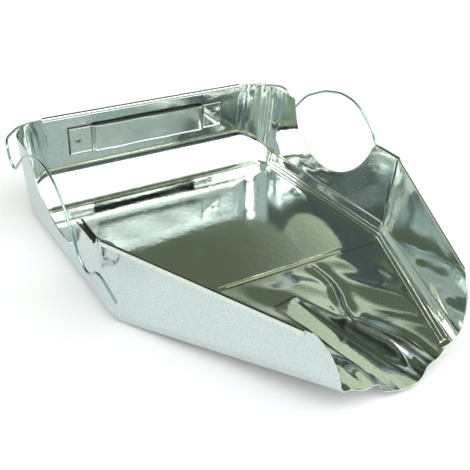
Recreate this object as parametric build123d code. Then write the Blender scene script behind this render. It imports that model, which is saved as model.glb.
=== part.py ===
from build123d import *
import math
import os

# Oil drain pan of thin folded sheet: a flat floor, a rear wall with rounded
# corners, two side panels with a round notch and a tapering front part, and a
# rising spout ramp. Units are millimetres, +Z up, rear wall towards +Y, spout
# towards -Y. The origin is on the underside of the floor, midway between the
# two notches.

# ---- driving dimensions ----
T = 1.0                 # sheet thickness
HALF_RIM = 162.0        # inner half width at the rim
HALF_BEVEL = 156.6      # inner half width at the top of the bottom bevel
HALF_FLOOR = 148.0      # half width of the flat floor
BEVEL_Z = 14.0          # height of the bottom bevel along the sides
RIDGE_Z = 34.0          # height of the ridge on the rear wall
REAR_Y = 136.0          # inner face of the rear wall
FLOOR_REAR_Y = 108.0    # rear edge of the flat floor
CORNER_R = 37.0         # rear corner radius at rim and ridge
FLOOR_CORNER_R = 14.0   # rear corner radius at the floor
CREASE_Y = -106.0       # vertical crease where the sides start to taper
FLOOR_FRONT_Y = -109.0  # bend between floor and spout ramp
FRONT_Y = -274.0        # front end of the rim
FRONT_HALF = 78.0       # half width at the front end of the rim
LIP_Y = -296.0          # front end of the spout lip
LIP_Z = 21.0            # height of the ramp at the front end of the rim
RIM_Z = 96.5            # rim height at the rear wall
RIM_CREASE_Z = 88.0     # rim height at the crease
RIM_FRONT_Z = 78.0      # rim height at the front end
NOTCH_R = 73.0          # notch radius
NOTCH_Z = 108.0         # height of the notch centre
WIRE_R = 1.25           # bail wire radius
HEM_R = 3.0             # outer radius of the rolled hem
HEM_BORE_R = 1.30       # inner radius of the rolled hem, the bails' bearing
HEM_Y = REAR_Y + 2.2    # axis of the rolled hem
HEM_Z = 94.5
HEM_HALF = 125.0        # half length of the rolled hem
LEG = 30.0              # length of each bail leg inside the hem
CHAN_X = 165.6          # middle of the latch channels
CHAN_Y0, CHAN_Y1 = -72.5, -105.0
STRAP_HALF, STRAP_JOG, STRAP_Z0, STRAP_Z1 = 98.5, 69.5, 50.0, 82.0
STRAP_T, STRAP_RISE = 1.2, 3.6
RIVET_X, RIVET_Z = 88.0, 65.6
RIVET_R, RIVET_HEAD_R, RIVET_TAIL_R = 1.6, 3.3, 2.5
ARC_N = 7

os.makedirs("parts", exist_ok=True)


def out(name, shape):
    export_step(shape, "parts/" + name + ".step")


def tri(a, b, c):
    return Face(Wire.make_polygon([Vector(*a), Vector(*b), Vector(*c)], close=True))


def closed(triangles):
    s = Solid(Shell([tri(*t) for t in triangles]))
    return s if s.volume > 0 else Solid(s.wrapped.Reversed())


def sub(a, b):
    return tuple(p - q for p, q in zip(a, b))


def add(a, b, k=1.0):
    return tuple(p + k * q for p, q in zip(a, b))


def cross(a, b):
    return (a[1] * b[2] - a[2] * b[1], a[2] * b[0] - a[0] * b[2], a[0] * b[1] - a[1] * b[0])


def dot(a, b):
    return sum(p * q for p, q in zip(a, b))


def unit(a):
    n = math.sqrt(dot(a, a))
    return tuple(p / n for p in a)


def offset(grid, thick):
    """Outer points of a sheet on a grid of inner points [station][level]. It is
    thickened away from the inside of the pan, and its lowest row goes straight
    down, so that it meets the edge of the floor face to face."""
    ni, nj = len(grid), len(grid[0])
    normals = {}
    for i in range(ni - 1):
        for j in range(nj - 1):
            a, b, c, d = grid[i][j], grid[i + 1][j], grid[i + 1][j + 1], grid[i][j + 1]
            n = unit(cross(sub(d, b), sub(c, a)))
            for k in ((i, j), (i + 1, j), (i + 1, j + 1), (i, j + 1)):
                normals.setdefault(k, []).append(n)
    outer = []
    for i in range(ni):
        row = []
        for j in range(nj):
            ns = normals[(i, j)]
            m = unit(tuple(sum(n[k] for n in ns) for k in range(3)))
            scale = thick / max(0.5, min(dot(m, n) for n in ns))
            if j == 0:
                row.append(add(grid[i][j], (0, 0, -1), thick))
            else:
                row.append(add(grid[i][j], m, scale))
        outer.append(row)
    return outer


def sheet(grid, outer):
    """Closed solid between the inner and outer points."""
    ni, nj = len(grid), len(grid[0])
    t = []

    def quad(a, b, c, d):
        t.append((a, b, c))
        t.append((a, c, d))

    for i in range(ni - 1):
        for j in range(nj - 1):
            quad(grid[i][j], grid[i + 1][j], grid[i + 1][j + 1], grid[i][j + 1])
            # the same diagonal as the inner face, so that the thickness stays even
            o = (outer[i][j], outer[i + 1][j], outer[i + 1][j + 1], outer[i][j + 1])
            t.append((o[2], o[1], o[0]))
            t.append((o[3], o[2], o[0]))
        quad(outer[i][0], outer[i + 1][0], grid[i + 1][0], grid[i][0])
        quad(grid[i][nj - 1], grid[i + 1][nj - 1], outer[i + 1][nj - 1], outer[i][nj - 1])
    for j in range(nj - 1):
        quad(grid[0][j], grid[0][j + 1], outer[0][j + 1], outer[0][j])
        quad(grid[ni - 1][j], outer[ni - 1][j], outer[ni - 1][j + 1], grid[ni - 1][j + 1])
    return closed(t)


def rim_z(y):
    if y >= CREASE_Y:
        return RIM_CREASE_Z + (RIM_Z - RIM_CREASE_Z) * (y - CREASE_Y) / (REAR_Y - CREASE_Y)
    return RIM_CREASE_Z + (RIM_FRONT_Z - RIM_CREASE_Z) * (CREASE_Y - y) / (CREASE_Y - FRONT_Y)


def half_at(z):
    return HALF_BEVEL + (HALF_RIM - HALF_BEVEL) * (z - BEVEL_Z) / (90.0 - BEVEL_Z)


def ramp_z(y):
    return T + max(0.0, (FLOOR_FRONT_Y - y)) * LIP_Z / (FLOOR_FRONT_Y - FRONT_Y)


def arc(cx, cy, r, z, k, n=ARC_N, a0=180.0, a1=90.0):
    a = math.radians(a0 + (a1 - a0) * k / n)
    return (cx + r * math.cos(a), cy + r * math.sin(a), z)


# ---- rear wall: stations run from the left side round to the right side ----
def rear_half():
    rows = []
    for k in range(ARC_N + 1):
        f = k / ARC_N
        s = f * f * (3 - 2 * f)
        mid_z = BEVEL_Z + (RIDGE_Z - BEVEL_Z) * s
        a = arc(-(HALF_FLOOR - FLOOR_CORNER_R), FLOOR_REAR_Y - FLOOR_CORNER_R, FLOOR_CORNER_R, T, k)
        w = half_at(mid_z)
        b = arc(-(w - CORNER_R), REAR_Y - CORNER_R, CORNER_R, mid_z, k)
        c0 = arc(-(HALF_RIM - CORNER_R), REAR_Y - CORNER_R, CORNER_R, 0, k)
        c = (c0[0], c0[1], rim_z(c0[1]))
        rows.append([a, b, c])
    return rows


def mirror_rows(rows):
    return [[(-x, y, z) for (x, y, z) in r] for r in reversed(rows)]


left_corner = rear_half()
rear_grid = left_corner + mirror_rows(left_corner)


# ---- side panels: the stations in front of the rear corner ----
def front_rows():
    rows = []
    slope = (HALF_RIM - FRONT_HALF) / (CREASE_Y - FRONT_Y)
    for y in (FRONT_Y - 24.0, CREASE_Y):
        shift = (CREASE_Y - y) * slope
        yf = y if y < CREASE_Y else FLOOR_FRONT_Y
        rows.append([
            (-(HALF_FLOOR - (shift if y < CREASE_Y else 0.0)), yf, ramp_z(yf)),
            (-(HALF_BEVEL - shift), y, ramp_z(y) + BEVEL_Z - T),
            (-(HALF_RIM - shift), y, rim_z(y)),
        ])
    return rows


left_rows = front_rows()
all_inner = left_rows + rear_grid + mirror_rows(left_rows)
all_outer = offset(all_inner, T)
nr = len(rear_grid)

hem_cut = Pos(0, HEM_Y, HEM_Z) * Rot(0, 90, 0) * Cylinder(HEM_R, 2 * HEM_HALF)
top_cut = Pos(0, REAR_Y, HEM_Z + 10) * Box(2 * HEM_HALF, 12, 20)
holes = [Pos(s * RIVET_X, REAR_Y, RIVET_Z) * Rot(90, 0, 0) * Cylinder(RIVET_R, 30) for s in (-1, 1)]
rear_wall = sheet(all_inner[2:2 + nr], all_outer[2:2 + nr]) - hem_cut - top_cut - holes[0] - holes[1]

notch = Pos(0, 0, NOTCH_Z) * Rot(0, 90, 0) * Cylinder(NOTCH_R, 500)


def nose_cut():
    """Everything in front of the rounded front edge of the side panels."""
    pts = [(FRONT_Y, 140), (FRONT_Y, RIM_FRONT_Z), (FRONT_Y - 6, RIM_FRONT_Z - 2), (FRONT_Y - 13, RIM_FRONT_Z - 7),
           (FRONT_Y - 18, RIM_FRONT_Z - 17), (FRONT_Y - 22, RIM_FRONT_Z - 33), (FRONT_Y - 23, RIM_FRONT_Z - 41),
           (FRONT_Y - 19, 24), (FRONT_Y - 16, 10), (FRONT_Y - 16, -30), (FRONT_Y - 90, -30), (FRONT_Y - 90, 140)]
    face = Face(Wire.make_polygon([Vector(-300, y, z) for y, z in pts], close=True))
    return extrude(face, amount=600, dir=(1, 0, 0))


nose = nose_cut()
left_full = sheet(all_inner[:3], all_outer[:3])
right_full = sheet(all_inner[-3:], all_outer[-3:])
print("side panels before cutting", round(left_full.volume), round(right_full.volume))
left_side_panel = left_full - notch - nose
right_side_panel = right_full - notch - nose
print("side panels", round(left_side_panel.volume), round(right_side_panel.volume))

# ---- floor and spout ramp ----
floor_pts = [r[0] for r in rear_grid] + [(HALF_FLOOR, FLOOR_FRONT_Y, T), (-HALF_FLOOR, FLOOR_FRONT_Y, T)]
floor_face = Face(Wire.make_polygon([Vector(x, y, 0) for x, y, z in floor_pts], close=True))
floor_sheet = extrude(floor_face, amount=T, dir=(0, 0, 1))

slope_x = (HALF_RIM - FRONT_HALF) / (CREASE_Y - FRONT_Y)


def ramp_half(y):
    f = (FLOOR_FRONT_Y - y) / (FLOOR_FRONT_Y - (FRONT_Y - 24.0))
    w0 = HALF_FLOOR
    w1 = -left_rows[0][0][0]
    return w0 + (w1 - w0) * f


ramp_grid_y = [FLOOR_FRONT_Y, FRONT_Y - 16.0]
rz0, rz1 = ramp_z(ramp_grid_y[0]), ramp_z(ramp_grid_y[1])
w0, w1 = ramp_half(ramp_grid_y[0]), ramp_half(ramp_grid_y[1])
lip = [(-w1 * 0.62, LIP_Y + 1.0), (-w1 * 0.28, LIP_Y), (w1 * 0.28, LIP_Y), (w1 * 0.62, LIP_Y + 1.0)]
outline = [(-w0, ramp_grid_y[0]), (-w1, ramp_grid_y[1])] + lip + [(w1, ramp_grid_y[1]), (w0, ramp_grid_y[0])]
ramp_top = Face(Wire.make_polygon([Vector(x, y, ramp_z(y)) for x, y in outline], close=True))
spout_ramp = extrude(ramp_top, amount=T, dir=(0, 0, -1))


# ---- lock seams along the floor edges, inside ----
def bar(pts, wide, high, sign):
    """Low folded seam standing on the floor beside its edge."""
    rows = []
    for (x, y, z) in pts:
        rows.append([(x, y, z), (x, y, z + high), (x + sign * wide, y, z + high), (x + sign * wide, y, z)])
    t = []
    for i in range(len(rows) - 1):
        for j in range(4):
            a, b = rows[i][j], rows[i + 1][j]
            c, d = rows[i + 1][(j + 1) % 4], rows[i][(j + 1) % 4]
            t += [(a, b, c), (a, c, d)]
    for r, flip in ((rows[0], False), (rows[-1], True)):
        q = list(reversed(r)) if flip else r
        t += [(q[0], q[1], q[2]), (q[0], q[2], q[3])]
    return closed(t)


seam_pts = [(-HALF_FLOOR + 0.6, FLOOR_REAR_Y - FLOOR_CORNER_R - 4, T), (-HALF_FLOOR + 0.6, FLOOR_FRONT_Y, T),
            (-ramp_half(FRONT_Y - 8) + 0.6, FRONT_Y - 8, ramp_z(FRONT_Y - 8))]
left_floor_seam = bar(seam_pts, 4.2, 1.3, 1)
right_floor_seam = bar([(-x, y, z) for x, y, z in seam_pts], 4.2, 1.3, -1)


# ---- rolled hem on the rear wall: the bearing of both bails ----
rear_hem_roll = Pos(0, HEM_Y, HEM_Z) * Rot(0, 90, 0) * (Cylinder(HEM_R, 2 * HEM_HALF) - Cylinder(HEM_BORE_R, 2 * HEM_HALF + 10))


# ---- latch channels: open hems that a bail's end snaps into from above ----
def outer_x(z, y):
    """Outer face of the side panel behind the crease."""
    f = (z - BEVEL_Z) / (rim_z(y) - BEVEL_Z)
    return HALF_BEVEL + (HALF_RIM - HALF_BEVEL) * f + T


def channel(sign):
    faces = []
    for y in (CHAN_Y0, CHAN_Y1):
        zt = rim_z(y)
        zc = zt - 2.6
        ri, ro = 1.6, 2.5
        pts = [(outer_x(zt, y) + 0.1, zt), (outer_x(zc - ro, y) + 0.1, zc - ro * 0.9)]
        for k in range(0, 9):
            a = math.radians(250 + 110 * k / 8)
            pts.append((CHAN_X + ro * math.cos(a), zc + ro * math.sin(a)))
        pts += [(CHAN_X + ro, zt - 0.6), (CHAN_X + ri, zt - 0.6)]
        for k in range(0, 9):
            a = math.radians(360 - 180 * k / 8)
            pts.append((CHAN_X + ri * math.cos(a), zc + ri * math.sin(a)))
        pts += [(CHAN_X - ri, zt)]
        faces.append(Face(Wire.make_polygon([Vector(sign * x, y, z) for x, z in pts], close=True)))
    return loft(faces, ruled=True)


left_latch_channel = channel(-1)
right_latch_channel = channel(1)


# ---- flat hems along the long tapering edges ----
def rim_hem(sign):
    ys = (CREASE_Y - 3.0, FRONT_Y + 1.0)
    nx, ny = slope_n
    rows = []
    for y in ys:
        shift = (CREASE_Y - y) * slope_x
        zt = rim_z(y)
        x = -(HALF_RIM - shift)
        k = T + 0.03
        rows.append([
            (x + nx * k, y + ny * k, zt),
            (x + nx * k + lean_x * 5.0, y + ny * k, zt - 5.0),
            (x + nx * (k + 1.5) + lean_x * 5.0, y + ny * (k + 1.5), zt - 4.6),
            (x + nx * (k + 1.5), y + ny * (k + 1.5), zt - 0.3),
        ])
    t = []
    for j in range(4):
        a, b = rows[0][j], rows[1][j]
        c, d = rows[1][(j + 1) % 4], rows[0][(j + 1) % 4]
        t += [(a, b, c), (a, c, d)]
    for r, flip in ((rows[0], False), (rows[1], True)):
        q = list(reversed(r)) if flip else r
        t += [(q[0], q[1], q[2]), (q[0], q[2], q[3])]
    if sign > 0:
        t = [tuple((-x, y, z) for x, y, z in tr) for tr in t]
    return closed(t)


_n = unit((-(CREASE_Y - FRONT_Y), -(HALF_RIM - FRONT_HALF), 0))
slope_n = (_n[0], _n[1])
lean_x = (HALF_RIM - HALF_BEVEL) / (84.0 - BEVEL_Z)
left_rim_hem = rim_hem(-1)
right_rim_hem = rim_hem(1)

# ---- magnet strap: flat end tabs and a raised middle ----
j = 2.5
prof = [(-STRAP_HALF, 0), (-STRAP_JOG - j, 0), (-STRAP_JOG + j, STRAP_RISE), (STRAP_JOG - j, STRAP_RISE), (STRAP_JOG + j, 0), (STRAP_HALF, 0),
        (STRAP_HALF, STRAP_T), (STRAP_JOG + j + 0.45, STRAP_T), (STRAP_JOG - j + 0.45, STRAP_RISE + STRAP_T),
        (-STRAP_JOG + j - 0.45, STRAP_RISE + STRAP_T), (-STRAP_JOG - j - 0.45, STRAP_T), (-STRAP_HALF, STRAP_T)]
strap_face = Face(Wire.make_polygon([Vector(x, REAR_Y - d, STRAP_Z0) for x, d in prof], close=True))
magnet_strap = extrude(strap_face, amount=STRAP_Z1 - STRAP_Z0, dir=(0, 0, 1)) - holes[0] - holes[1]
magnet_strip = Pos(0, REAR_Y - STRAP_RISE / 2, (STRAP_Z0 + STRAP_Z1) / 2) * Box(2 * (STRAP_JOG - j) - 4, STRAP_RISE, STRAP_Z1 - STRAP_Z0 - 5)


def rivet(x):
    head_y = REAR_Y - STRAP_T
    shank = Pos(x, (head_y + REAR_Y + T) / 2, RIVET_Z) * Rot(90, 0, 0) * Cylinder(RIVET_R, STRAP_T + T)
    dome = Pos(x, head_y - 0.65, RIVET_Z) * Rot(90, 0, 0) * Cone(RIVET_HEAD_R, RIVET_HEAD_R * 0.6, 1.3)
    tail = Pos(x, REAR_Y + T + 1.25, RIVET_Z) * Rot(90, 0, 0) * Cylinder(RIVET_TAIL_R, 2.5)
    eye = Pos(x, head_y - 1.3, RIVET_Z) * Rot(90, 0, 0) * Cylinder(0.9, 1.2)
    return shank + dome + tail - eye


strap_rivets = Compound(children=[Solid(rivet(s * RIVET_X).solids()[0].wrapped) for s in (-1, 1)])


# ---- spring-wire bails: each pivots in the hem, dips behind the corner, arches
# over the notch, and ends in a straight finger that snaps into the channel ----
def tilt(p, deg):
    a = math.radians(deg)
    y, z = p[1] - HEM_Y, p[2] - HEM_Z
    return (p[0], HEM_Y + y * math.cos(a) - z * math.sin(a), HEM_Z + y * math.sin(a) + z * math.cos(a))


def wire(points, radii):
    path = FilletPolyline(*[Vector(*p) for p in points], radius=radii)
    start = path @ 0
    direction = path % 0
    sk = Plane(origin=start, z_dir=direction) * Circle(WIRE_R)
    return sweep(sk, path=path)


def first_turn(points):
    u, v = sub(points[1], points[0]), sub(points[2], points[1])
    return math.acos(dot(u, v) / math.sqrt(dot(u, u) * dot(v, v)))


def radii_for(points, most=60.0):
    found = []
    for a, b, c in zip(points, points[1:], points[2:]):
        u, v = sub(b, a), sub(c, b)
        lu, lv = math.sqrt(dot(u, u)), math.sqrt(dot(v, v))
        turn = math.acos(max(-1, min(1, dot(u, v) / lu / lv)))
        found.append(min(most, 0.45 * min(lu, lv) / math.tan(turn / 2)))
    found[0] = 5.0 / math.tan(0.5 * first_turn(points))
    return found


loop = [(-134.0, HEM_Y, HEM_Z), (-153.0, 133.0, 94.5), (-171.0, 111.0, 94.0), (-174.5, 99.5, 90.0), (-174.0, 97.5, 77.0),
        (-173.0, 87.5, 69.0), (-172.0, 70.0, 84.0)]
open_arch = [(-172.0, 53.0, 97.6), (-172.0, 21.0, 110.6), (-172.0, -8.0, 115.4), (-172.0, -34.0, 111.0), (-172.0, -55.0, 96.5)]
left_pts = [(-HEM_HALF + LEG, HEM_Y, HEM_Z)] + loop + open_arch + [
    (-172.0, -70.5, 80.5), (-171.5, -82.0, 57.0), (-170.0, -98.0, 49.5), (-169.0, -111.0, 60.5), (-168.0, -121.0, 61.5), (-166.5, -147.0, 51.5)]
left_bail = wire(left_pts, radii_for(left_pts))

RIGHT_X = 165.6
CLOSE_UP = -4.0
right_pts = [(HEM_HALF - LEG, HEM_Y, HEM_Z)] + [(-x, y, z) for x, y, z in loop[:2]]
for p in loop[2:] + open_arch[:4]:
    q = tilt(p, CLOSE_UP)
    w = min(1.0, max(0.0, (112.0 - p[1]) / 60.0))
    right_pts.append((-q[0] + (RIGHT_X + q[0]) * w, q[1], q[2]))
zc0, zc1 = rim_z(CHAN_Y0) - 2.6, rim_z(CHAN_Y1) - 2.6
s = (zc0 - zc1) / (CHAN_Y0 - CHAN_Y1)
right_pts += [(RIGHT_X, -61.0, 103.0), (RIGHT_X, -70.0, zc0 + 2.5 * s + 0.8), (RIGHT_X, -107.5, zc1 - 2.5 * s + 0.1)]
right_bail = wire(right_pts, radii_for(right_pts))
print("bail radii", [round(r, 1) for r in radii_for(left_pts)], [round(r, 1) for r in radii_for(right_pts)])

for name, shape in {
    "rear_wall": rear_wall, "floor_sheet": floor_sheet, "left_side_panel": left_side_panel,
    "right_side_panel": right_side_panel, "spout_ramp": spout_ramp, "rear_hem_roll": rear_hem_roll,
    "left_latch_channel": left_latch_channel, "right_latch_channel": right_latch_channel,
    "left_rim_hem": left_rim_hem, "right_rim_hem": right_rim_hem,
    "left_floor_seam": left_floor_seam, "right_floor_seam": right_floor_seam,
    "magnet_strap": magnet_strap, "magnet_strip": magnet_strip, "strap_rivets": strap_rivets,
    "left_bail": left_bail, "right_bail": right_bail,
}.items():
    out(name, shape)
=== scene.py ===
import math

import bpy
import numpy as np
from mathutils import Matrix, Vector


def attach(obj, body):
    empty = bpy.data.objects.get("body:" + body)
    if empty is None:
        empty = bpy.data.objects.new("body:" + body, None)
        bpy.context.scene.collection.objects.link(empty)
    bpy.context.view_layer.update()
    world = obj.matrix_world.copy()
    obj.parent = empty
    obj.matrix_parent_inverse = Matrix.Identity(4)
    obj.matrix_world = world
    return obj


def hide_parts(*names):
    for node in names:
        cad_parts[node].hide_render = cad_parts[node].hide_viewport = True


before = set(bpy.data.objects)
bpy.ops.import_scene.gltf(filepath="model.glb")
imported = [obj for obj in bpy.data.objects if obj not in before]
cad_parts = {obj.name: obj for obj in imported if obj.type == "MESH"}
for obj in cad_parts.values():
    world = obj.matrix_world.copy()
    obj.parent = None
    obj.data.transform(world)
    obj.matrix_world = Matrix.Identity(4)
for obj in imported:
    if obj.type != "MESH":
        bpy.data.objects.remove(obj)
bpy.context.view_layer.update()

# ---------------------------------------------------------------- dimensions, mm
T = 1.0
HALF_RIM, HALF_BEVEL, HALF_FLOOR = 162.0, 156.6, 148.0
BEVEL_Z, RIDGE_Z = 14.0, 34.0
REAR_Y, FLOOR_REAR_Y = 136.0, 108.0
CORNER_R, FLOOR_CORNER_R = 37.0, 14.0
CREASE_Y, FLOOR_FRONT_Y = -106.0, -109.0
FRONT_Y, FRONT_HALF = -274.0, 78.0
RIM_Z, RIM_CREASE_Z, RIM_FRONT_Z = 96.5, 88.0, 78.0
NOTCH_R, NOTCH_Z = 73.0, 108.0
RISE = 21.0 / (FLOOR_FRONT_Y - FRONT_Y)


def rim_z(y):
    if y >= CREASE_Y:
        return RIM_CREASE_Z + (RIM_Z - RIM_CREASE_Z) * (y - CREASE_Y) / (REAR_Y - CREASE_Y)
    return RIM_CREASE_Z + (RIM_FRONT_Z - RIM_CREASE_Z) * (CREASE_Y - y) / (CREASE_Y - FRONT_Y)


def half_at(z):
    return HALF_BEVEL + (HALF_RIM - HALF_BEVEL) * (z - BEVEL_Z) / (90.0 - BEVEL_Z)


def ramp_z(y):
    return T + max(0.0, FLOOR_FRONT_Y - y) * RISE


def vec(*p):
    return np.array(p, float)


def unit(v):
    return v / max(1e-9, np.linalg.norm(v))


# ---------------------------------------------------------------- mesh helpers
def make(name, verts, faces, material, body="pan", sharp=38, attr=None, outside=None, painted_shade=None):
    me = bpy.data.meshes.new(name)
    me.from_pydata([tuple(float(c) / 1000 for c in v) for v in verts], [], [tuple(int(i) for i in f) for f in faces])
    me.validate()
    me.update()
    o = bpy.data.objects.new(name, me)
    bpy.context.scene.collection.objects.link(o)
    for p in me.polygons:
        p.use_smooth = True
    me.set_sharp_from_angle(angle=math.radians(sharp))
    if attr is not None:
        a = me.attributes.new("bend", "FLOAT", "POINT")
        a.data.foreach_set("value", np.array(attr, np.float32))
        a = me.attributes.new("painted_shade", "FLOAT", "POINT")
        a.data.foreach_set("value", np.array(painted_shade if painted_shade is not None else np.zeros(len(verts)), np.float32))
    me.materials.append(material)
    if outside is not None:
        me.materials.append(outside)
        half_n = len(verts) // 2
        for p in me.polygons:
            if min(p.vertices) >= half_n:
                p.material_index = 1
    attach(o, body)
    return o


def sheet_mesh(inner, outer, flip=False):
    """Vertices and faces of a closed sheet from two grids [i][j] of points."""
    ni, nj = inner.shape[:2]
    verts = np.concatenate([inner.reshape(-1, 3), outer.reshape(-1, 3)])
    off = ni * nj
    k = lambda i, j: i * nj + j
    faces = []
    for i in range(ni - 1):
        for j in range(nj - 1):
            faces.append((k(i, j), k(i + 1, j), k(i + 1, j + 1), k(i, j + 1)))
            faces.append((off + k(i, j + 1), off + k(i + 1, j + 1), off + k(i + 1, j), off + k(i, j)))
        faces.append((off + k(i, 0), off + k(i + 1, 0), k(i + 1, 0), k(i, 0)))
        faces.append((k(i, nj - 1), k(i + 1, nj - 1), off + k(i + 1, nj - 1), off + k(i, nj - 1)))
    for j in range(nj - 1):
        faces.append((k(0, j), k(0, j + 1), off + k(0, j + 1), off + k(0, j)))
        a = ni - 1
        faces.append((off + k(a, j), off + k(a, j + 1), k(a, j + 1), k(a, j)))
    if flip:
        faces = [tuple(reversed(f)) for f in faces]
    return verts, faces


def grid_normals(g):
    du = np.gradient(g, axis=0)
    dv = np.gradient(g, axis=1)
    n = np.cross(du, dv)
    ln = np.linalg.norm(n, axis=2, keepdims=True)
    return n / np.maximum(ln, 1e-9)


def smooth01(t):
    t = np.clip(t, 0, 1)
    return t * t * (3 - 2 * t)


# ---------------------------------------------------------------- walls
def arc(cx, cy, r, f):
    a = math.radians(180 - 90 * f)
    return cx + r * math.cos(a), cy + r * math.sin(a)


def nose_y(z):
    """Front edge of the side panels at a height."""
    zs = [0, 10, 16, 24, 30, 37, 45, 53, 61, 67, 71, 74.5, 76.6, 77.6, 78, 90]
    ys = [-290, -290, -291, -293, -295.5, -297, -296.6, -295, -292, -289, -286, -282.5, -279.5, -277, -274.5, -274]
    return float(np.interp(z, zs, ys))


def stations():
    """Guide points A (floor edge), B (bevel), C (rim) from the left front end round the rear to the middle."""
    out = []
    a1, a0 = vec(-52, FRONT_Y - 24, ramp_z(FRONT_Y - 24)), vec(-HALF_FLOOR, FLOOR_FRONT_Y, T)
    sh = (HALF_RIM - FRONT_HALF) / (CREASE_Y - FRONT_Y)
    yy = FRONT_Y - 24
    b1 = vec(-(HALF_BEVEL - (CREASE_Y - yy) * sh), yy, ramp_z(yy) + BEVEL_Z - T)
    b0 = vec(-HALF_BEVEL, CREASE_Y, BEVEL_Z)
    c1 = vec(-(HALF_RIM - (CREASE_Y - yy) * sh), yy, rim_z(yy))
    c0 = vec(-HALF_RIM, CREASE_Y, RIM_CREASE_Z)
    fs = list(np.linspace(1, 0.14, 74)) + list(np.linspace(0.133, 0.02, 30))
    for f in fs:
        out.append(("front", f, (a0 + (a1 - a0) * f, b0 + (b1 - b0) * f, c0 + (c1 - c0) * f), (a0, a1, b0, b1, c0, c1)))
    # rounded vertical crease: a short curve from the front panel to the side panel
    ae, be, ce = [p0 + (p1 - p0) * 0.02 for p0, p1 in ((a0, a1), (b0, b1), (c0, c1))]
    as_, bs, cs = vec(-HALF_FLOOR, CREASE_Y + 4, T), vec(-HALF_BEVEL, CREASE_Y + 4, BEVEL_Z), vec(-HALF_RIM, CREASE_Y + 4, rim_z(CREASE_Y + 4))
    for t in np.linspace(0.2, 0.8, 4):
        q = lambda p, m, e: (1 - t) ** 2 * p + 2 * t * (1 - t) * m + t * t * e
        out.append(("crease", 0, (q(ae, a0, as_), q(be, b0, bs), q(ce, c0, cs)), None))
    ys = set(np.round(np.arange(CREASE_Y + 4, 99.01, 2.05), 2)) | {99.0}
    for k in (40, 50, 57, 61, 64, 66.5, 68.3, 69.6, 70.5, 71.0, 71.4):
        ys |= {float(k), float(-k)}
    for y in sorted(ys):
        # the floor corner starts a little sooner than the corners above it
        ya = CREASE_Y + 4 + (y - CREASE_Y - 4) * (94.0 - CREASE_Y - 4) / (99.0 - CREASE_Y - 4)
        out.append(("side", 0, (vec(-HALF_FLOOR, ya, T), vec(-HALF_BEVEL, y, BEVEL_Z), vec(-HALF_RIM, y, rim_z(y))), None))
    for f in np.linspace(0, 1, 34)[1:]:
        s = f * f * (3 - 2 * f)
        mz = BEVEL_Z + (RIDGE_Z - BEVEL_Z) * s
        ax, ay = arc(-(HALF_FLOOR - FLOOR_CORNER_R), FLOOR_REAR_Y - FLOOR_CORNER_R, FLOOR_CORNER_R, f)
        w = half_at(mz)
        bx, by = arc(-(w - CORNER_R), REAR_Y - CORNER_R, CORNER_R, f)
        cx, cy = arc(-(HALF_RIM - CORNER_R), REAR_Y - CORNER_R, CORNER_R, f)
        out.append(("corner", f, (vec(ax, ay, T), vec(bx, by, mz), vec(cx, cy, rim_z(cy))), None))
    a, b, c = out[-1][2]
    for t in np.concatenate([[0.002], np.linspace(0.02, 1, 36)]):
        top = 93.0
        out.append(("rear", t, (vec(a[0] * (1 - t), a[1], T), vec(b[0] * (1 - t), b[1], RIDGE_Z), vec(c[0] * (1 - t), REAR_Y, top)), None))
    return out


def profile(kind, a, b, c, ends):
    """Points across the sheet, from a little way in on the floor up to the rim."""
    side = b - a
    d = vec(side[0], side[1], 0)
    if kind in ("front", "side", "crease"):
        d = vec(-1, 0, 0)
    d = unit(d)
    g = unit(vec(0, -1, RISE)) if kind == "front" else vec(0, 1, 0)
    ridge = smooth01((b[2] - BEVEL_Z) / (RIDGE_Z - BEVEL_Z))
    ca = 2.2 + 4.3 * float(ridge)
    p0 = a - d * (ca + 0.4)
    cb = 2.0 + 5.0 * float(ridge)
    uab, ubc = unit(b - a), unit(c - b)
    s, e = a - d * ca, a + uab * ca
    pts = [p0]
    for t in np.linspace(0, 1, 6):
        pts.append((1 - t) ** 2 * s + 2 * t * (1 - t) * a + t * t * e)
    s2, e2 = b - uab * cb, b + ubc * cb
    for t in np.linspace(0, 1, 7)[1:-1]:
        pts.append(e + (s2 - e) * t)
    for t in np.linspace(0, 1, 9):
        pts.append((1 - t) ** 2 * s2 + 2 * t * (1 - t) * b + t * t * e2)
    top = c
    if kind == "side" and abs(b[1]) < NOTCH_R:
        z = NOTCH_Z - math.sqrt(NOTCH_R ** 2 - b[1] ** 2)
        if z < c[2]:
            f = (z - b[2]) / (c[2] - b[2])
            top = b + (c - b) * f
    for t in np.linspace(0, 1, 27)[1:]:
        pts.append(e2 + (top - e2) * (1 - (1 - t) ** 1.45))
    return pts


def wave(p, amp=1.0):
    """Slow buckling of thin sheet, in mm."""
    x, y, z = p[..., 0], p[..., 1], p[..., 2]
    return amp * (0.42 * np.sin(x / 21 + y / 27 + z / 40 + 1.1) + 0.30 * np.sin(y / 12.5 - z / 17 + x / 60 + 0.4)
                  + 0.22 * np.sin(x / 9.5 - z / 13 + y / 44) + 0.12 * np.sin(y / 6.1 + z / 8 + x / 5.2))


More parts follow.
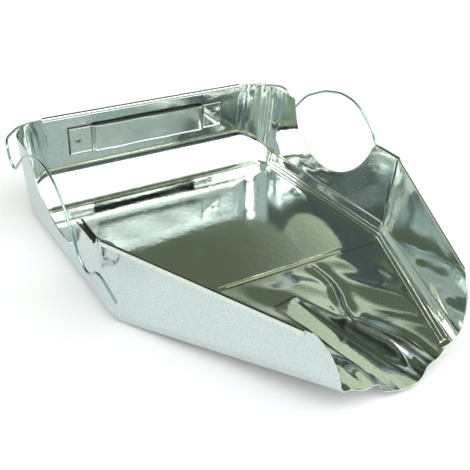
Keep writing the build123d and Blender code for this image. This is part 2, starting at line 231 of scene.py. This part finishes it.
st = stations()
rows = []
for kind, f, (a, b, c), ends in st:
    if kind == "front":
        a0, a1, b0, b1, c0, c1 = ends
        base = profile(kind, a, b, c, ends)
        pts = []
        full = profile(kind, a1, b1, c1, ends)
        for lvl, p in enumerate(base):
            y_end = nose_y(full[lvl][2]) if f > 0.02 else p[1]
            # pull the columns back so that the last one lies on the rounded front edge
            y0 = a0[1] if lvl < 4 else b0[1]
            k = (y_end - y0) / (full[lvl][1] - y0)
            pp = base[lvl]
            start = profile(kind, a0 + (a1 - a0) * 0.0, b0, c0, ends)[lvl]
            q = start + (full[lvl] - start) * (f * k)
            pts.append(q)
        rows.append(pts)
    else:
        rows.append(profile(kind, a, b, c, ends))
kinds = [s[0] for s in st]
half = np.array(rows)
mirror = half[::-1][1:].copy()
mirror[..., 0] *= -1
kinds_all = kinds + kinds[::-1][1:]
inner = np.concatenate([half, mirror])
nrm = grid_normals(inner)
# outward from the pan's inside
if nrm[len(kinds) // 3, 25, 0] > 0:
    nrm = -nrm
# buckling fades towards the rim, the floor edge and the bends
nj = inner.shape[1]
up_m = np.linalg.norm(inner - inner[:, 20:21], axis=2)
tall = np.maximum(1.0, up_m[:, -1:])
fade = np.where(np.arange(nj)[None, :] < 20, 0.0, smooth01(up_m / (0.35 * tall)) * smooth01((tall - up_m - 3.0) / 12.0))
amp = np.array([{"front": 0.24, "crease": 0.2, "side": 0.5, "corner": 0.25, "rear": 0.28}[k] for k in kinds_all])
amp = np.convolve(np.pad(amp, 6, mode="edge"), np.ones(13) / 13, mode="valid")
disp = wave(inner) * fade * amp[:, None]
is_corner = np.convolve(np.pad(np.array([1.0 if k == "corner" else 0.0 for k in kinds_all]), 4, mode="edge"), np.ones(9) / 9, mode="valid")
run = np.concatenate([[0], np.cumsum(np.linalg.norm(np.diff(inner[:, 30], axis=0), axis=1))])
disp += (0.17 * np.sin(run / 1.75) + 0.10 * np.sin(run / 0.97 + 1.0) + 0.2 * np.sin(run / 4.3))[:, None] * is_corner[:, None] * fade
# half-round thumb mark on the left front panel
dc = vec(-157.2, -114.6, 79.0)
near = np.linalg.norm((inner - dc) * vec(1, 1, 1), axis=2)
left = inner[..., 0] < 0
dent = np.where(left, smooth01((10.5 - near) / 1.8), 0) * 1.7
inner = inner + nrm * (disp - dent)[..., None]
outer = inner + nrm * (T - 0.04)
# keep the first row flat on the floor
outer[:, 0] = inner[:, 0] - vec(0, 0, 0.9)
# painted warm reflection: yellow tint on the floor bend, the ridge bend and next to the rim, much fainter on the
# outside face
bend = np.zeros(inner.shape[:2])
bend[:, 1:8] = 0.8
bend[:, 12:14] = 0.9
bend[:, 17:21] = 0.9
bend[:, -3:] = 0.6
bend_attr = np.concatenate([bend.reshape(-1), 0.12 * bend.reshape(-1)])


# ---------------------------------------------------------------- materials
def material(name):
    m = bpy.data.materials.new(name)
    m.use_nodes = True
    nt = m.node_tree
    return m, nt, nt.nodes["Principled BSDF"], nt.nodes, nt.links


def metal(name, base, warm, rough, rough_hi, speckle, bump, smudge=0.5, painted_sheen_and_shade=True, scratch=0.25):
    m, nt, bsdf, N, L = material(name)
    bsdf.inputs["Metallic"].default_value = 1.0
    tc = N.new("ShaderNodeTexCoord")
    fine = N.new("ShaderNodeTexNoise"); fine.inputs["Scale"].default_value = 980; fine.inputs["Detail"].default_value = 2
    L.new(tc.outputs["Object"], fine.inputs["Vector"])
    big = N.new("ShaderNodeTexNoise"); big.inputs["Scale"].default_value = 17; big.inputs["Detail"].default_value = 5
    L.new(tc.outputs["Object"], big.inputs["Vector"])
    mid = N.new("ShaderNodeTexNoise"); mid.inputs["Scale"].default_value = 140; mid.inputs["Detail"].default_value = 3
    L.new(tc.outputs["Object"], mid.inputs["Vector"])
    # colour: speckle over a base, with a painted warm-yellow reflection on the bends, or warm patches at random on the
    # plain metals
    ramp = N.new("ShaderNodeValToRGB")
    ramp.color_ramp.elements[0].position = 0.34
    ramp.color_ramp.elements[0].color = (*[c * (1 - speckle) for c in base], 1)
    ramp.color_ramp.elements[1].position = 0.66
    ramp.color_ramp.elements[1].color = (*[min(1, c * (1 + speckle * 0.5)) for c in base], 1)
    L.new(fine.outputs["Fac"], ramp.inputs["Fac"])
    mix = N.new("ShaderNodeMix"); mix.data_type = "RGBA"
    L.new(ramp.outputs["Color"], mix.inputs[6])
    mix.inputs[7].default_value = (*warm, 1)
    if painted_sheen_and_shade:
        at = N.new("ShaderNodeAttribute"); at.attribute_name = "bend"
        mul = N.new("ShaderNodeMath"); mul.operation = "MULTIPLY"; mul.inputs[1].default_value = 0.42
        L.new(at.outputs["Fac"], mul.inputs[0])
        L.new(mul.outputs[0], mix.inputs[0])
        # painted shade: darken the colour towards near-black by the per-vertex shade weight, in noisy patches
        so = N.new("ShaderNodeAttribute"); so.attribute_name = "painted_shade"
        patch = N.new("ShaderNodeMapRange"); patch.inputs[1].default_value = 0.3; patch.inputs[2].default_value = 0.62
        patch.inputs[3].default_value = 0.85; patch.inputs[4].default_value = 1.0
        L.new(mid.outputs["Fac"], patch.inputs[0])
        sm = N.new("ShaderNodeMath"); sm.operation = "MULTIPLY"; sm.use_clamp = True
        L.new(so.outputs["Fac"], sm.inputs[0]); L.new(patch.outputs[0], sm.inputs[1])
        mix2 = N.new("ShaderNodeMix"); mix2.data_type = "RGBA"
        L.new(sm.outputs[0], mix2.inputs[0]); L.new(mix.outputs[2], mix2.inputs[6])
        mix2.inputs[7].default_value = (0.055, 0.07, 0.06, 1)
        mix = mix2
    else:
        mr = N.new("ShaderNodeMapRange"); mr.inputs[1].default_value = 0.55; mr.inputs[2].default_value = 0.8
        mr.inputs[3].default_value = 0.0; mr.inputs[4].default_value = 0.5
        L.new(big.outputs["Fac"], mr.inputs[0])
        L.new(mr.outputs[0], mix.inputs[0])
    L.new(mix.outputs[2], bsdf.inputs["Base Color"])
    # roughness: wiped smudges
    r = N.new("ShaderNodeMapRange")
    r.inputs[1].default_value, r.inputs[2].default_value = 0.5 - 0.25 * smudge, 0.5 + 0.3 * smudge
    r.inputs[3].default_value, r.inputs[4].default_value = rough, rough_hi
    L.new(big.outputs["Fac"], r.inputs[0])
    L.new(r.outputs[0], bsdf.inputs["Roughness"])
    # bump: fine grain and rolling scratches
    scr = N.new("ShaderNodeTexNoise"); scr.inputs["Scale"].default_value = 90; scr.inputs["Detail"].default_value = 4
    mp = N.new("ShaderNodeMapping"); mp.inputs["Scale"].default_value = (14, 0.5, 3)
    L.new(tc.outputs["Object"], mp.inputs["Vector"]); L.new(mp.outputs["Vector"], scr.inputs["Vector"])
    add = N.new("ShaderNodeMath"); add.operation = "MULTIPLY_ADD"; add.inputs[1].default_value = scratch
    L.new(scr.outputs["Fac"], add.inputs[0]); L.new(mid.outputs["Fac"], add.inputs[2])
    bp = N.new("ShaderNodeBump"); bp.inputs["Strength"].default_value = bump; bp.inputs["Distance"].default_value = 0.0006
    L.new(add.outputs[0], bp.inputs["Height"])
    L.new(bp.outputs["Normal"], bsdf.inputs["Normal"])
    return m


SHEET = metal("tinned_sheet", (0.76, 0.82, 0.80), (0.84, 0.77, 0.46), 0.05, 0.12, 0.2, 0.14)
OUTSIDE = metal("tinned_sheet_outside", (0.64, 0.71, 0.71), (0.78, 0.78, 0.66), 0.34, 0.46, 0.16, 0.2)
STRAP = metal("strap_sheet", (0.78, 0.82, 0.78), (0.80, 0.78, 0.62), 0.10, 0.2, 0.18, 0.2, painted_sheen_and_shade=False)
WIRE = metal("spring_wire", (0.38, 0.50, 0.50), (0.25, 0.30, 0.29), 0.2, 0.36, 0.15, 0.15, painted_sheen_and_shade=False, scratch=0.6)
HEM = metal("hem_sheet", (0.74, 0.78, 0.74), (0.80, 0.76, 0.55), 0.12, 0.25, 0.18, 0.2, painted_sheen_and_shade=False)
RIVET = metal("rivet_aluminium", (0.36, 0.37, 0.31), (0.16, 0.14, 0.10), 0.35, 0.5, 0.3, 0.3, painted_sheen_and_shade=False)
# painted shadow: a near-black metal for shadow lines, dark edge reflections and dark recesses
SHADOW_PAINT = metal("painted_edge_shadow", (0.075, 0.085, 0.08), (0.05, 0.04, 0.03), 0.4, 0.6, 0.3, 0.3, painted_sheen_and_shade=False)

mag, nt, bsdf, N, L = material("magnet_strip")
nz = N.new("ShaderNodeTexNoise"); nz.inputs["Scale"].default_value = 260; nz.inputs["Detail"].default_value = 4
rp = N.new("ShaderNodeValToRGB")
rp.color_ramp.elements[0].color = (0.03, 0.03, 0.028, 1); rp.color_ramp.elements[1].color = (0.075, 0.072, 0.065, 1)
L.new(nz.outputs["Fac"], rp.inputs["Fac"]); L.new(rp.outputs["Color"], bsdf.inputs["Base Color"])
bsdf.inputs["Roughness"].default_value = 0.75

# ---------------------------------------------------------------- walls mesh
# painted shade: dark bands along the floor bend and the ridge bend, weighted per wall, and over the upper part of the
# rounded vertical crease
painted_shade = np.zeros(inner.shape[:2])
painted_shade_out = np.zeros(inner.shape[:2])
for i, k in enumerate(kinds_all):
    w = {"rear": 1.0, "corner": 0.7, "side": 0.35, "crease": 0.5, "front": 0.3}[k]
    painted_shade[i, 2:6] = w * 0.85
    painted_shade[i, 14:17] = w * 0.85
    if k == "crease":
        painted_shade[i, 20:] = 0.45
# painted shadow: a dark ring round the front side of the thumb mark, on the outside face
ring = np.exp(-((near - 10.2) / 1.0) ** 2) * (inner[..., 1] < dc[1] + 8)
painted_shade_out = np.where(left, ring * 0.9, 0)
v, fcs = sheet_mesh(inner, outer)
walls = make("pan_walls", v, fcs, SHEET, attr=bend_attr, outside=OUTSIDE, painted_shade=np.concatenate([painted_shade.reshape(-1), painted_shade_out.reshape(-1)]))
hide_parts("rear_wall", "left_side_panel", "right_side_panel")


# ---------------------------------------------------------------- floor
edge_pts = np.array([r[0] for r, k in zip(half, kinds) if k in ("side", "corner")])
edge_y = np.maximum.accumulate(edge_pts[:, 1])


def floor_half(y):
    """Half width of the flat floor up to the foot of the walls."""
    return float(np.interp(y, edge_y, -edge_pts[:, 0])) + 0.15


ys = list(np.linspace(-107.5, 86, 64)) + list(np.linspace(88, edge_y[-1] + 0.1, 16))
us = np.linspace(-1, 1, 91)
fl = np.array([[vec(u * floor_half(y), y, T) for y in ys] for u in us])
edge = smooth01((1 - np.abs(us)) / 0.08)[:, None] * smooth01((np.array(ys) + 107.5) / 10)[None, :] * smooth01((edge_y[-1] - np.array(ys)) / 12)[None, :]
fl[..., 2] += edge * (0.16 * np.sin(fl[..., 0] / 31 + fl[..., 1] / 44) + 0.13 * np.sin(fl[..., 1] / 17 - fl[..., 0] / 52 + 0.7)) * 0.8
under = fl.copy(); under[..., 2] = 0.0
v, fcs = sheet_mesh(fl, under)
zero = np.zeros(len(v))
floor_piece = make("pan_floor", v, fcs, SHEET, attr=zero)
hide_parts("floor_sheet")

# ---------------------------------------------------------------- ramp
LIP_X = [-60, -54, -48, -41, -34, -27, -22, -19, -16.5, -13, -8, 0, 7, 19, 23, 25.5, 27.5, 31, 37, 45, 51, 60]
LIP_H = [28.5, 28.5, 27.5, 25.5, 23.8, 23, 21, 17.5, 13, 10.2, 8.6, 7.6, 7.2, 7.2, 8.8, 13, 17.3, 19.2, 20, 20, 21, 25]


def ramp_half(y):
    f = max(0.0, (FLOOR_FRONT_Y - y) / (FLOOR_FRONT_Y - (FRONT_Y - 24.0)))
    return HALF_FLOOR + (52.0 - HALF_FLOOR) * f


def lip_y(x):
    return -299.5 + 8.5 * smooth01((abs(x) - 34) / 22.0) - 1.6 * math.sin(x / 9.0 + 0.6) * (1 if abs(x) < 48 else 0.3)


def valley_edges(y):
    f = np.clip((-166.0 - y) / (300.0 - 166.0), 0, 1)
    return -23 + 9.5 * f, -3 + 22.5 * f, f


NU, NV = 291, 151
us = np.linspace(-1, 1, NU)
vs = np.linspace(0, 1, NV)
rg = np.zeros((NU, NV, 3))
rb = np.zeros((NU, NV))
rs = np.zeros((NU, NV))
for j, t in enumerate(vs):
    for i, u in enumerate(us):
        y_mid = -106.5 + (-298 + 106.5) * t
        x = u * (ramp_half(y_mid) - 2.4)
        y = -106.5 + (lip_y(x if t > 0.8 else u * 50) + 106.5) * t
        x = u * (ramp_half(y) - 2.4 if y > -290 else ramp_half(-290.0) - 2.4)
        # rounded bend between floor and ramp
        d = FLOOR_FRONT_Y - y
        base = T + RISE * (0 if d < -4 else (d if d > 4 else (d + 4) ** 2 / 16.0))
        side = smooth01((1 - abs(u)) * (ramp_half(y) - 2.4) / 11.0)
        f = d / 185.0
        h = 0.0
        # slow buckles along the spout, stronger towards the lip
        grow = smooth01(d / 40.0) * 1.0
        h += grow * side * (1.5 * math.sin(x / 11.5 + 0.8 * math.sin(y / 37.0) + 0.5) * (0.5 + 0.5 * f)
                            + 1.3 * math.sin(x / 23.0 - y / 31.0 + 1.9) + 0.7 * math.sin(y / 13.0 + x / 19.0)
                            + 0.35 * math.sin(x / 5.1 + y / 16.0))
        # crease that curves from the bend to the bead
        cx = np.interp(-y, [121, 150, 163, 190, 214, 226], [47, 43.5, 40, 27, 15, 8])
        if -y < 232:
            k = smooth01((-y - 117) / 14.0) * smooth01((232 + y) / 16.0)
            h += 2.4 * k * math.exp(-((x - cx) / 3.6) ** 2) - 1.6 * k * math.exp(-((x - cx - 9) / 5.5) ** 2)
        # second, shallower crease on the other half
        cx2 = np.interp(-y, [118, 160, 220, 280], [-62, -54, -47, -41])
        h += 1.2 * smooth01((-y - 116) / 18.0) * math.exp(-((x - cx2) / 4.5) ** 2) * side
        # narrow fold at the bend line, ending abruptly on the right
        if -53 < x < 97.5:
            wd = 1.3 + 1.6 * (x + 53) / 150.0
            h += 1.3 * math.exp(-((y + 111.5 + 2.0 * (x / 98.0 - 0.4)) / wd) ** 2) * smooth01((x + 53) / 12.0) * (1 if x < 95 else 0.4)
        # bulge at the left of the lip
        h += 5.0 * math.exp(-(((x + 45) / 12.0) ** 2 + ((y + 281) / 19.0) ** 2))
        z = base + h
        # flat-bottomed pouring groove
        xl, xr, g = valley_edges(y)
        g0 = smooth01((-y - 163.0) / 8.0)
        zl = 8.2 - 1.0 * g
        w_l, w_r = 3.0 + 3.0 * g, 4.0 + 4.5 * g
        m = smooth01((x - (xl - w_l)) / w_l) * smooth01(((xr + w_r) - x) / w_r) * g0
        # rolled bead along the right-hand edge of the groove
        bead = smooth01((-y - 205.0) / 22.0)
        rr = (x - xr) / (1.6 * w_r)
        stripe = math.sin(4 * math.pi * rr) if 0 < rr < 1.25 else 0.0
        ridge_z = bead * 0.3 * stripe * float(smooth01(rr / 0.15) * smooth01((1.25 - rr) / 0.2))
        z += bead * 1.6 * math.exp(-((x - (xr + w_r + 1.0)) / 2.6) ** 2)
        z += bead * 1.1 * math.exp(-((x - (xr + w_r + 8.0)) / 2.0) ** 2)
        z = z * (1 - m) + min(z, zl - 0.085 * (x - 0.5 * (xl + xr)) + 0.06 * math.sin(y / 15.0)) * m + ridge_z
        # run into the wavy lip
        k = smooth01((t - 0.80) / 0.20)
        z = z * (1 - k) + float(np.interp(x, LIP_X, LIP_H)) * k
        # meet the panels at the sides
        e = smooth01((1 - abs(u)) * ramp_half(y) / 5.0)
        z = z * e + base * (1 - e)
        rg[i, j] = (x, y, max(1.0, z))
        # painted shade and dark reflection: dark lines along the groove's edges, the bead's stripes, the groove's
        # start, the fold at the bend line and beside the crease
        dark = 0.0
        if g0 > 0.2:
            dark = max(dark, 1.0 * g0 * math.exp(-((x - (xl - w_l - 0.5)) / (1.2 + 0.9 * g)) ** 2), 1.0 * g0 * math.exp(-((x - (xl - 0.4 * w_l)) / (1.2 + 1.0 * g)) ** 2))
            dark = max(dark, 0.7 * bead * float(smooth01((-stripe - 0.2) / 0.7)), 0.8 * g0 * math.exp(-((x - xr - 0.5) / 0.9) ** 2))
            dark = max(dark, 0.95 * bead * math.exp(-((x - (xr + w_r + 4.6)) / 1.7) ** 2))
            dark = max(dark, 0.7 * bead * math.exp(-((x - (xr + w_r + 11.0)) / 1.6) ** 2))
        if y < -160 and y > -168 and xl - 2 < x < xr + 2:
            dark = max(dark, 0.8 * math.exp(-((y + 164) / 1.4) ** 2))
        dark = max(dark, 0.75 * smooth01((x + 60) / 20.0) * math.exp(-((y + 115.4 + 2.0 * (x / 98.0 - 0.4)) / 1.2) ** 2) * (1 if x < 100 else 0.6))
        if -y < 232:
            dark = max(dark, 0.55 * smooth01((-y - 117) / 14.0) * math.exp(-((x - cx - 4.6) / 1.7) ** 2))
        rs[i, j] = dark * e
        # painted warm reflection along the narrow fold at the bend line, and faintly where the spout meets the panels
        rb[i, j] = 1.0 if (-53 < x < 97.5 and abs(y + 111.5 + 2.0 * (x / 98.0 - 0.4)) < 3.0) else 0.25 * (1 - e)
ub = rg.copy(); ub[..., 2] -= 0.9
v, fcs = sheet_mesh(rg, ub, flip=True)
ramp_piece = make("pan_spout", v, fcs, SHEET, attr=np.concatenate([rb.reshape(-1), rb.reshape(-1)]), sharp=60,
                  painted_shade=np.concatenate([rs.reshape(-1), 0 * rs.reshape(-1)]))
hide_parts("spout_ramp")


# ---------------------------------------------------------------- folded lock seams
def seam(sign, name, node):
    """Three folded ridges along the bottom edge, from the rear corner to the lip."""
    idx = [i for i, k in enumerate(kinds) if k in ("front", "crease", "side")]
    top, bot, sl = [], [], []
    for i in idx:
        row = inner[i, :14]
        if st[i][0] == "front" and st[i][1] > 0.975:
            continue
        n = -unit(np.cross(vec(0, 1, 0), unit(row[13] - row[7])))
        if n[0] < 0:
            n = -n
        # arc length along the section
        seg = np.linalg.norm(np.diff(row, axis=0), axis=1)
        s = np.concatenate([[0], np.cumsum(seg)])
        tops, bots, sls = [], [], []
        for d in np.linspace(1.2, 10.2, 41):
            p = np.array([np.interp(d, s, row[:, c]) for c in range(3)])
            up = unit(vec(1, 0, 1.3) * smooth01((6 - d) / 3.0) + n * (1 - smooth01((6 - d) / 3.0)))
            ph = (d - 1.2) / 9.0
            wob = 0.12 * math.sin(i / 9.0) + 0.05 * math.sin(i / 3.7)
            h = 0.3 + (1.15 + wob) * abs(math.sin(math.pi * 2.4 * (ph + 0.03 * wob))) ** 0.7 * (1 - 0.35 * ph)
            if ph < 0.02 or ph > 0.98:
                h = 0.12
            tops.append(p + up * h)
            # painted shade in the troughs between the ridges
            sls.append(0.9 * float(smooth01((0.62 - h) / 0.3)))
            bots.append(p - up * 0.25)
        top.append(tops); bot.append(bots); sl.append(sls)
    g, b = np.array(top), np.array(bot)
    g[..., 0] *= -sign; b[..., 0] *= -sign
    v, fcs = sheet_mesh(g, b, flip=(sign > 0))
    sl = np.array(sl).reshape(-1)
    # painted warm reflection over the whole seam
    o = make(name, v, fcs, SHEET, attr=np.full(len(v), 0.25), sharp=70, painted_shade=np.concatenate([sl, sl]))
    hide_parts(node)
    return o


seam(-1, "left_lock_seam", "left_floor_seam")
seam(1, "right_lock_seam", "right_floor_seam")

# ---------------------------------------------------------------- pieces kept from the CAD model
for node, m in {"rear_hem_roll": HEM, "left_latch_channel": HEM, "right_latch_channel": HEM, "left_rim_hem": HEM,
                "right_rim_hem": HEM, "magnet_strip": mag,
                "left_bail": WIRE, "right_bail": WIRE}.items():
    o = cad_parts[node]
    o.data.materials.clear()
    o.data.materials.append(m)
    for p in o.data.polygons:
        p.use_smooth = True
    o.data.set_sharp_from_angle(angle=math.radians(35))

# ---------------------------------------------------------------- magnet strap
xs = np.concatenate([[-98.5, -97.6], np.linspace(-96.8, -74, 18), np.linspace(-72.5, -66.5, 9), np.linspace(-65, 65, 60),
                     np.linspace(66.5, 72.5, 9), np.linspace(74, 96.8, 26), [97.6, 98.5]])
zs = np.concatenate([[50, 50.9], np.linspace(51.6, 80.4, 25), [81.1, 82]])
sg = np.zeros((len(xs), len(zs), 3)); sb = sg.copy()
for i, x in enumerate(xs):
    rise = 3.6 * smooth01((72.3 - abs(x)) / 5.0)
    for j, z in enumerate(zs):
        ex = min(98.5 - abs(x), 82 - z, z - 50)
        roll_back = 0.55 * (1 - smooth01(ex / 1.6))
        y = REAR_Y - rise - 1.85 + roll_back
        if abs(x) < 66:
            y += 0.22 * math.sin(x / 26.0 + z / 30.0) + 0.12 * math.sin(x / 9.0 - z / 8.0) * smooth01(ex / 3)
        elif x > 72:
            q = (z - 66) + 0.8 * (x - 80)
            y += -0.75 * math.exp(-(q / 4.0) ** 2) * smooth01(ex / 4) + 0.6 * math.exp(-(((x - 93) / 4.0) ** 2 + ((z - 76) / 4.0) ** 2))
        sg[i, j] = (x, y, z)
        sb[i, j] = (x, min(REAR_Y - 0.1, y + 1.6), z)
v, fcs = sheet_mesh(sg, sb, flip=False)
strap = make("magnet_strap_sheet", v, fcs, STRAP, sharp=50)
# painted shadow lines: the strap's end and top edge faces and its joggles take the near-black material
strap.data.materials.append(SHADOW_PAINT)
for p in strap.data.polygons:
    c = p.center * 1000
    ex = min(98.5 - abs(c.x), 82 - c.z)
    if ex < 0.95 or abs(abs(c.x) - 72.6) < 0.5:
        p.material_index = 1
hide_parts("magnet_strap")

# ---------------------------------------------------------------- rivets
front = REAR_Y - 1.86
prof = [(0.0, 0.55), (0.85, 0.6), (1.0, 1.32), (1.7, 1.3), (2.4, 1.05), (2.9, 0.65), (3.25, 0.3), (3.35, 0.0), (1.6, 0.0),
        (1.6, -(REAR_Y + T - front)), (2.5, -(REAR_Y + T - front) - 0.05), (2.6, -(REAR_Y + T - front) - 1.2), (2.3, -(REAR_Y + T - front) - 2.3), (0.0, -(REAR_Y + T - front) - 2.5)]
verts, faces, painted_dark = [], [], []
for sx in (-1, 1):
    base = len(verts)
    n = 40
    verts.append((sx * 88.0, front - prof[0][1], 65.6))
    for r, h in prof[1:-1]:
        for k in range(n):
            a = 2 * math.pi * k / n
            verts.append((sx * 88.0 + r * math.cos(a), front - h, 65.6 + r * math.sin(a)))
    verts.append((sx * 88.0, front - prof[-1][1], 65.6))
    last = len(verts) - 1
    m = len(prof) - 2
    for k in range(n):
        k2 = (k + 1) % n
        faces.append((base, base + 1 + k, base + 1 + k2)); painted_dark.append(1)
        for q in range(m - 1):
            a0, a1 = base + 1 + q * n, base + 1 + (q + 1) * n
            faces.append((a0 + k, a1 + k, a1 + k2, a0 + k2)); painted_dark.append(1 if q in (0, 5) else 0)
        a0 = base + 1 + (m - 1) * n
        faces.append((a0 + k, last, a0 + k2)); painted_dark.append(0)
rivets = make("rivets", verts, faces, RIVET, sharp=45)
# painted shade: the rivet bores and the rims of the heads take the near-black material
rivets.data.materials.append(SHADOW_PAINT)
for p, d in zip(rivets.data.polygons, painted_dark):
    p.material_index = d
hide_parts("strap_rivets")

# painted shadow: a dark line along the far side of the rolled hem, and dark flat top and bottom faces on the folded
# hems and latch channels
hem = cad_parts["rear_hem_roll"].data
hem.materials.append(SHADOW_PAINT)
for p in hem.polygons:
    n, c = p.normal, p.center
    out = Vector((0, c.y - 0.1382, c.z - 0.0945))
    if out.length > 0.002 and n.dot(out) > 0 and abs(n.x) < 0.5 and -34 < math.degrees(math.atan2(n.y, n.z)) < 70:
        p.material_index = 1
for node in ("left_rim_hem", "right_rim_hem", "left_latch_channel", "right_latch_channel"):
    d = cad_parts[node].data
    d.materials.append(SHADOW_PAINT)
    for p in d.polygons:
        if p.normal.z > 0.75 or p.normal.z < -0.75:
            p.material_index = 1

# ---------------------------------------------------------------- floor, light, camera
bpy.ops.mesh.primitive_plane_add(size=40, location=(0, 0, -0.0002))
ground = bpy.context.object
ground.name = "studio_floor"
gm, nt, bsdf, N, L = material("studio_floor")
bsdf.inputs["Base Color"].default_value = (0.90, 0.885, 0.885, 1)
bsdf.inputs["Roughness"].default_value = 0.95
bsdf.inputs["Specular IOR Level"].default_value = 0.1
ground.data.materials.append(gm)

world = bpy.data.worlds.new("studio")
bpy.context.scene.world = world
world.use_nodes = True
wn, wl = world.node_tree.nodes, world.node_tree.links
bg = wn["Background"]
tc = wn.new("ShaderNodeTexCoord")


def lobe(azimuth, elevation, inner_deg, outer_deg):
    """1 inside a cone of directions, 0 outside it. Azimuth 0 is +Y, 90 is +X."""
    a, e = math.radians(azimuth), math.radians(elevation)
    d = wn.new("ShaderNodeVectorMath"); d.operation = "DOT_PRODUCT"
    wl.new(tc.outputs["Generated"], d.inputs[0])
    d.inputs[1].default_value = (math.sin(a) * math.cos(e), math.cos(a) * math.cos(e), math.sin(e))
    r = wn.new("ShaderNodeMapRange"); r.interpolation_type = "SMOOTHSTEP"
    r.inputs[1].default_value = math.cos(math.radians(outer_deg))
    r.inputs[2].default_value = math.cos(math.radians(inner_deg))
    wl.new(d.outputs["Value"], r.inputs[0])
    return r.outputs[0]


def blend(prev, color, fac):
    m = wn.new("ShaderNodeMix"); m.data_type = "RGBA"
    wl.new(fac, m.inputs[0])
    if isinstance(prev, tuple):
        m.inputs[6].default_value = (*prev, 1)
    else:
        wl.new(prev, m.inputs[6])
    m.inputs[7].default_value = (*color, 1)
    return m.outputs[2]


col = (0.62, 0.70, 0.68)
col = blend(col, (0.64, 0.72, 0.54), lobe(68, 30, 28, 46))        # the room beyond the pan
col = blend(col, (0.10, 0.125, 0.12), lobe(-33, 34, 20, 38))
col = blend(col, (0.13, 0.158, 0.105), lobe(5, 44, 24, 37))      # dark side of the room
col = blend(col, (0.13, 0.16, 0.16), lobe(-147, 30, 14, 30))      # dark behind the camera
col = blend(col, (0.20, 0.25, 0.23), lobe(145, 2, 12, 26))
col = blend(col, (2.7, 2.8, 2.75), lobe(145, 50, 12, 24))         # large soft box, front right
wl.new(col, bg.inputs["Color"])
bg.inputs["Strength"].default_value = 1.0

key = bpy.data.lights.new("soft_key", "SUN"); key.energy = 2.1; key.angle = math.radians(48)
ko = bpy.data.objects.new("soft_key", key); ko.location = (-0.7, -1.0, 1.7)
ko.rotation_euler = (Vector((0, -0.05, 0.03)) - Vector(ko.location)).to_track_quat("-Z", "Y").to_euler()
bpy.context.scene.collection.objects.link(ko)

az, el, roll = math.radians(-33.07), math.radians(30.89), math.radians(2.23)
back = Vector((math.sin(az) * math.cos(el), -math.cos(az) * math.cos(el), math.sin(el)))
right0 = Vector((0, 0, 1)).cross(back).normalized()
up0 = back.cross(right0)
right = math.cos(roll) * right0 + math.sin(roll) * up0
up = -math.sin(roll) * right0 + math.cos(roll) * up0
cam = bpy.data.cameras.new("camera")
cam.lens, cam.sensor_width = 54.03, 36.0
cam.clip_start, cam.clip_end = 0.05, 60
co = bpy.data.objects.new("camera", cam)
pos = (right * 103.17 + up * -71.17 + back * 862.3) / 1000 + Vector((0, 0.136, 0))
co.matrix_world = Matrix.Translation(pos) @ Matrix((right, up, back)).transposed().to_4x4()
bpy.context.scene.collection.objects.link(co)
bpy.context.scene.camera = co
bpy.context.scene.view_settings.view_transform = "Standard"
